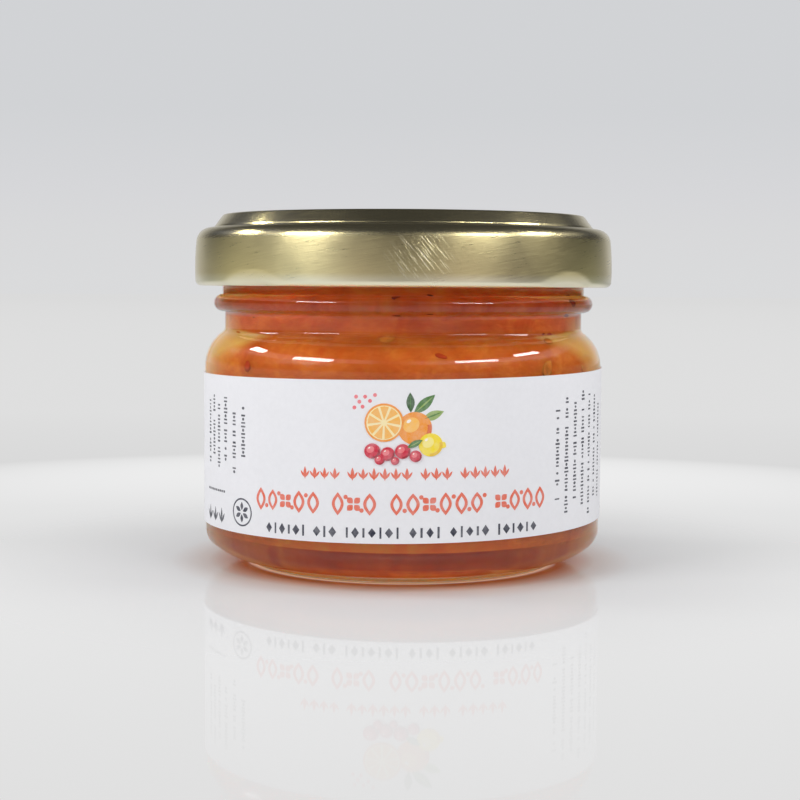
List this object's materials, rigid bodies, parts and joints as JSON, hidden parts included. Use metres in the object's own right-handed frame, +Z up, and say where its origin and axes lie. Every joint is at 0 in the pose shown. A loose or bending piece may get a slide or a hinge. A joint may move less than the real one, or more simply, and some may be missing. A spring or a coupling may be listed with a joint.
{
  "type": "jar of fruit dessert",
  "caption": "Small squat clear glass jar filled with orange fruit compote, closed by a satin gold twist-off cap and wrapped in a white paper label.",
  "frame": {"origin": "centre of the jar's footprint, on the surface it stands on", "axes": "+Z up along the jar's axis, -Y towards the front of the label, +X to the right of the front"},
  "size_m": [0.0556, 0.0556, 0.0461],
  "materials": {
    "glass": "clear gloss",
    "compote": "wet, translucent fruit pulp",
    "cap_metal": "satin pale gold lacquer on tinplate",
    "label_paper": "matte printed paper"
  },
  "bodies": {
    "root": {"glass_jar": "glass", "fruit_dessert": "compote", "lid": "cap_metal", "label": "label_paper"}
  },
  "joints": []
}
